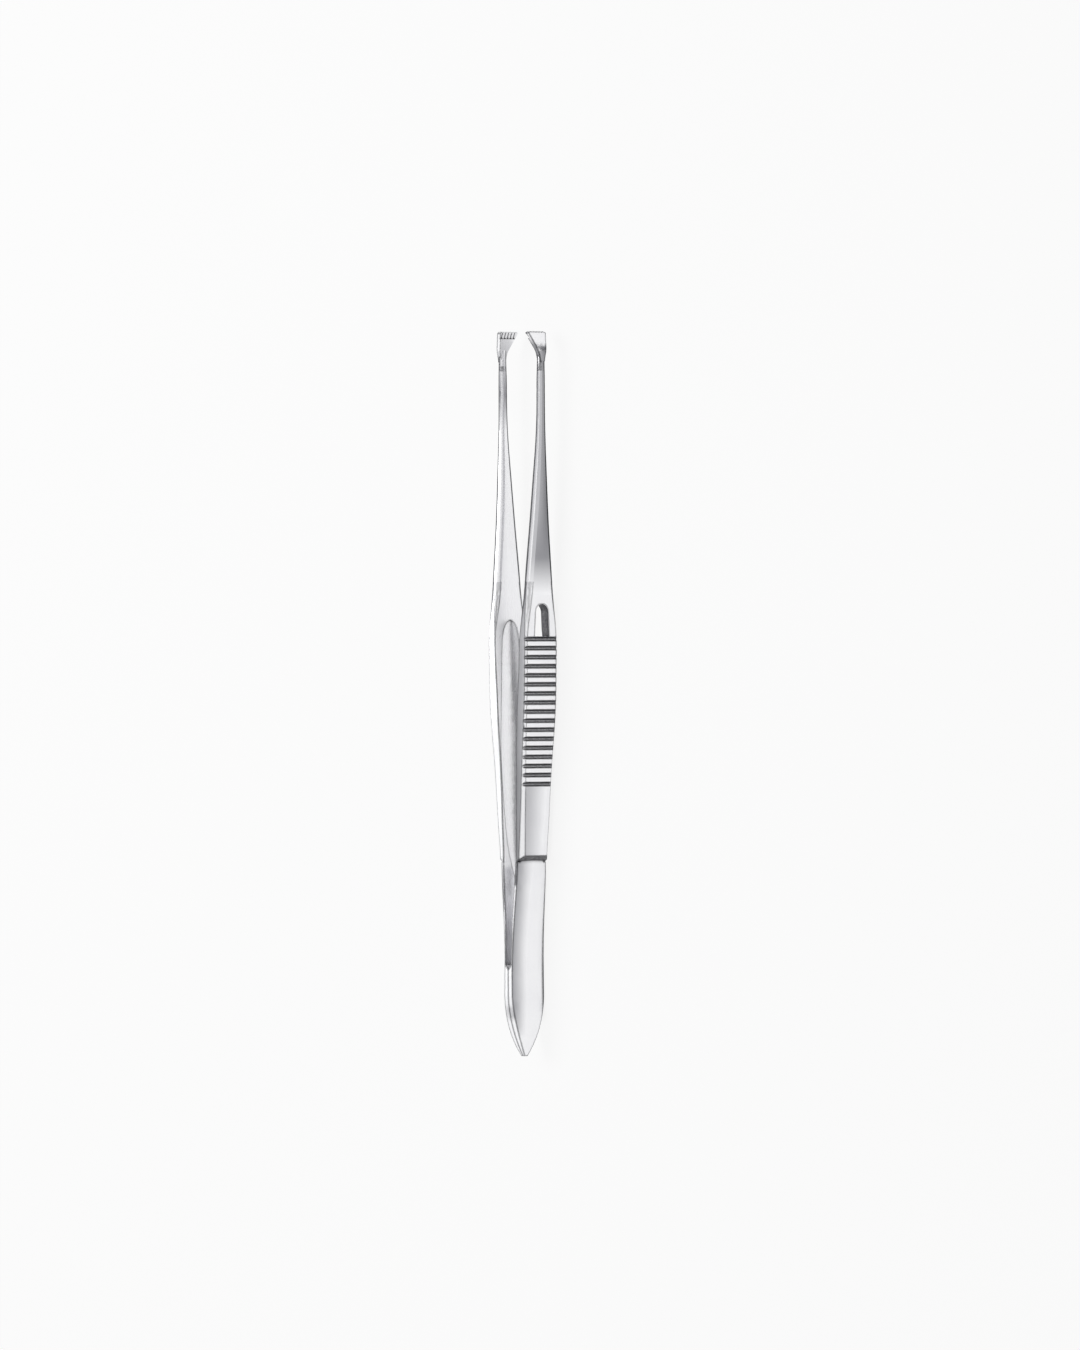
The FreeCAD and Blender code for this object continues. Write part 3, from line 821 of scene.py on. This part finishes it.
@dataclass(frozen=True)
class NarrowSideCards:
    """Cards at the left, which show in the narrow sides that look up."""

    marks: Landmarks
    away_mm: float = 6.0
    edges_mm: tuple[float, float, float] = (4.7, 8.5, 14.0)
    grip_rear_mm: float = 26.0
    grip_front_mm: float = 68.0
    root_lap_mm: float = 0.3
    root_front_mm: float = 106.8
    far_away_mm: float = 20.0
    leaf_edges_mm: tuple[float, float] = (2.0, 4.6)
    leaf_stations_mm: tuple[float, float] = (22.3, 30.0)
    tip_edges_mm: tuple[float, float] = (3.4, 5.6)
    tip_stations_mm: tuple[float, float] = (-1.0, 4.0)

    def near_limb(self) -> list[Card]:
        """Shade the near limb's side: grip, shaft and root of the jaw.

        Returns:
            Five cards close to the limbs.
        """
        inner = self.edges_mm[:2]
        outer = self.edges_mm[1:]
        root_rear = self.marks.jaws_rear + self.root_lap_mm
        grip = (self.grip_rear_mm, self.grip_front_mm)
        shaft = (self.grip_front_mm, root_rear)
        root = (root_rear, self.root_front_mm)
        away = self.away_mm
        return [
            hung_card("grip_side_card", grip, inner, away, Grey.DARK, Grey.LIGHT),
            hung_card("grip_side_outer_card", grip, outer, away, Grey.LIGHT, Grey.WHITE),
            hung_card("shaft_side_card", shaft, inner, away,
                      Grey.DARK, Grey.LIGHT, Grey.DIM, Grey.MIDDLE),
            hung_card("shaft_side_outer_card", shaft, outer, away,
                      Grey.LIGHT, Grey.WHITE, Grey.MIDDLE, Grey.LIGHT),
            hung_card("root_side_card", root, inner, away,
                      Grey.DIM, Grey.MIDDLE, Grey.WHITE, Grey.WHITE),
        ]

    def butt(self) -> list[Card]:
        """Shade the side of the far limb's leaf and of the butt's tip.

        Returns:
            Two cards further off.
        """
        shades = (Grey.DIM, Grey.DIM, Grey.LIGHT, Grey.LIGHT)
        return [
            hung_card("leaf_side_card", self.leaf_stations_mm, self.leaf_edges_mm,
                      self.far_away_mm, *shades),
            hung_card("tip_card", self.tip_stations_mm, self.tip_edges_mm,
                      self.far_away_mm, *shades),
        ]

    def cards(self) -> list[Card]:
        """All cards of the narrow sides."""
        return self.near_limb() + self.butt()


@dataclass(frozen=True)
class GapCards:
    """Upright cards between the limbs, which only the far limb's inner face mirrors."""

    side_mm: float = 1.2
    rear_mm: float = 24.0
    upper_rear_mm: float = 29.0
    front_mm: float = 66.0
    foot_mm: float = 0.02
    turn_mm: float = 1.4
    top_mm: float = 4.2

    def cards(self) -> list[Card]:
        """Shade the scoop: dark low down, then light to white.

        Returns:
            A lower and an upper card, both clear from behind.
        """
        foot = (self.side_mm, self.foot_mm)
        turn = (self.side_mm, self.turn_mm)
        top = (self.side_mm, self.top_mm)
        lower = (self.rear_mm, self.front_mm)
        upper = (self.upper_rear_mm, self.front_mm)
        return [
            Card("gap_card", lower, foot, turn, (Grey.DARK, Grey.DIM), True),
            Card("gap_upper_card", upper, turn, top, (Grey.LIGHT, Grey.WHITE), True),
        ]


@dataclass(frozen=True)
class Studio:
    """Floor, surroundings, soft lamp and grey cards round the instrument."""

    marks: Landmarks
    floor_size_mm: float = 3000.0
    floor_drop_mm: float = 0.03
    room_light: float = 0.55
    low_side: tuple[float, float, float] = (1.0, 0.0, -1.0)
    low_side_begins: float = -0.6
    low_side_full: float = 0.7
    low_side_light: float = 0.8
    lamp_size_mm: float = 420.0
    lamp_distance_mm: float = 600.0
    lamp_watts: float = 1.2
    lamp_direction: tuple[float, float, float] = (-0.5, 0.3, 1.0)

    def build_floor(self) -> None:
        """Lay the pale floor just under the instrument."""
        half = self.floor_size_mm * MM / 2
        level = -self.floor_drop_mm * MM
        corners = [(-half, -half, level), (half, -half, level), (half, half, level), (-half, half, level)]
        mesh = bpy.data.meshes.new("studio_floor")
        mesh.from_pydata(corners, [], [(0, 1, 2, 3)])
        floor = bpy.data.objects.new("studio_floor", mesh)
        bpy.context.scene.collection.objects.link(floor)
        mesh.materials.append(MattWhiteLaminate().material())
        LOG.info("laid the floor")

    def build_world(self) -> None:
        """White surroundings, which the steel sees a little greyer low down at the right."""
        world = bpy.data.worlds.new("white_studio")
        bpy.context.scene.world = world
        world.use_nodes = True
        tree = world.node_tree
        tree.nodes.clear()
        towards = add_node(tree, "ShaderNodeTexCoord").outputs["Generated"]
        sideways = add_node(tree, "ShaderNodeVectorMath", {"operation": "DOT_PRODUCT"},
                            {0: towards, 1: tuple(Vector(self.low_side).normalized())})
        mirrored = add_node(tree, "ShaderNodeMapRange", None, {
            "Value": sideways.outputs["Value"], "From Min": self.low_side_begins,
            "From Max": self.low_side_full, "To Min": 1.0, "To Max": self.low_side_light})
        path = add_node(tree, "ShaderNodeLightPath")
        for_metal = add_node(tree, "ShaderNodeMix", {"data_type": "FLOAT"}, {
            0: path.outputs["Is Glossy Ray"], 2: self.room_light, 3: mirrored.outputs[0]})
        seen = add_node(tree, "ShaderNodeMath", {"operation": "MAXIMUM"}, {
            0: path.outputs["Is Camera Ray"], 1: path.outputs["Is Transmission Ray"]})
        strength = add_node(tree, "ShaderNodeMix", {"data_type": "FLOAT"}, {
            0: seen.outputs[0], 2: for_metal.outputs[0], 3: 1.0})
        light = add_node(tree, "ShaderNodeBackground", None, {
            "Color": linear_colour("ffffff"), "Strength": strength.outputs[0]})
        add_node(tree, "ShaderNodeOutputWorld", None, {"Surface": light.outputs[0]})
        LOG.info("set the surroundings")

    def build_lamp(self) -> None:
        """Hang one square soft lamp that faces the instrument."""
        data = bpy.data.lights.new("key_lamp", "AREA")
        data.shape = "SQUARE"
        data.size = self.lamp_size_mm * MM
        data.energy = self.lamp_watts
        lamp = bpy.data.objects.new("key_lamp", data)
        direction = Vector(self.lamp_direction).normalized()
        lamp.location = direction * self.lamp_distance_mm * MM
        lamp.rotation_mode = "QUATERNION"
        lamp.rotation_quaternion = direction.to_track_quat("Z", "Y")
        bpy.context.scene.collection.objects.link(lamp)
        LOG.info("hung the lamp")

    def build(self) -> None:
        """Set up floor, surroundings, lamp and cards."""
        self.build_floor()
        self.build_world()
        self.build_lamp()
        groups = (OuterFaceCards(self.marks), NeckCards(), NarrowSideCards(self.marks), GapCards())
        for group in groups:
            for card in group.cards():
                card.build()


@dataclass(frozen=True)
class PhotoCamera:
    """Long-lens camera that sees the instrument as the photograph does."""

    image_width: int = 1080
    image_height: int = 1350
    pixels_per_mm: float = 6.586
    butt_row: float = 1056.0
    axis_column: float = 522.9
    distance_mm: float = 2400.0
    lean_degrees: float = 0.245
    sensor_mm: float = 36.0

    def build(self) -> None:
        """Place the camera so that the butt and the middle line fall on the photograph's."""
        low, high = CAD_BOX
        middle = (low + high) / 2
        turn = math.radians(VIEW_TURN_DEGREES)
        back = Vector((math.cos(turn), 0, math.sin(turn)))
        up = Vector((0, 1, 0))
        right = up.cross(back)
        rows_up = (self.butt_row - self.image_height / 2) / self.pixels_per_mm * MM
        columns_right = (self.image_width / 2 - self.axis_column) / self.pixels_per_mm * MM
        target = Vector((middle.x, low.y + rows_up, middle.z)) + right * columns_right
        lean = Matrix.Rotation(-math.radians(self.lean_degrees), 3, back)
        facing = Matrix((right, up, back)).transposed()
        data = bpy.data.cameras.new("photo_camera")
        data.sensor_width = self.sensor_mm
        visible_height = self.image_height / self.pixels_per_mm
        data.lens = self.sensor_mm * self.distance_mm / visible_height
        camera = bpy.data.objects.new("photo_camera", data)
        camera.matrix_world = Matrix.Translation(target + back * self.distance_mm * MM) @ (
            lean @ facing).to_4x4()
        bpy.context.scene.collection.objects.link(camera)
        bpy.context.scene.camera = camera
        LOG.info("placed the camera")


def main() -> None:
    """Build the scene in order."""
    logging.basicConfig(level=logging.INFO, format="%(name)s: %(message)s")
    bpy.context.scene.view_settings.view_transform = "Standard"
    marks = Landmarks()
    Forceps(marks).dress()
    Studio(marks).build()
    PhotoCamera().build()


if __name__ == "__main__":
    main()
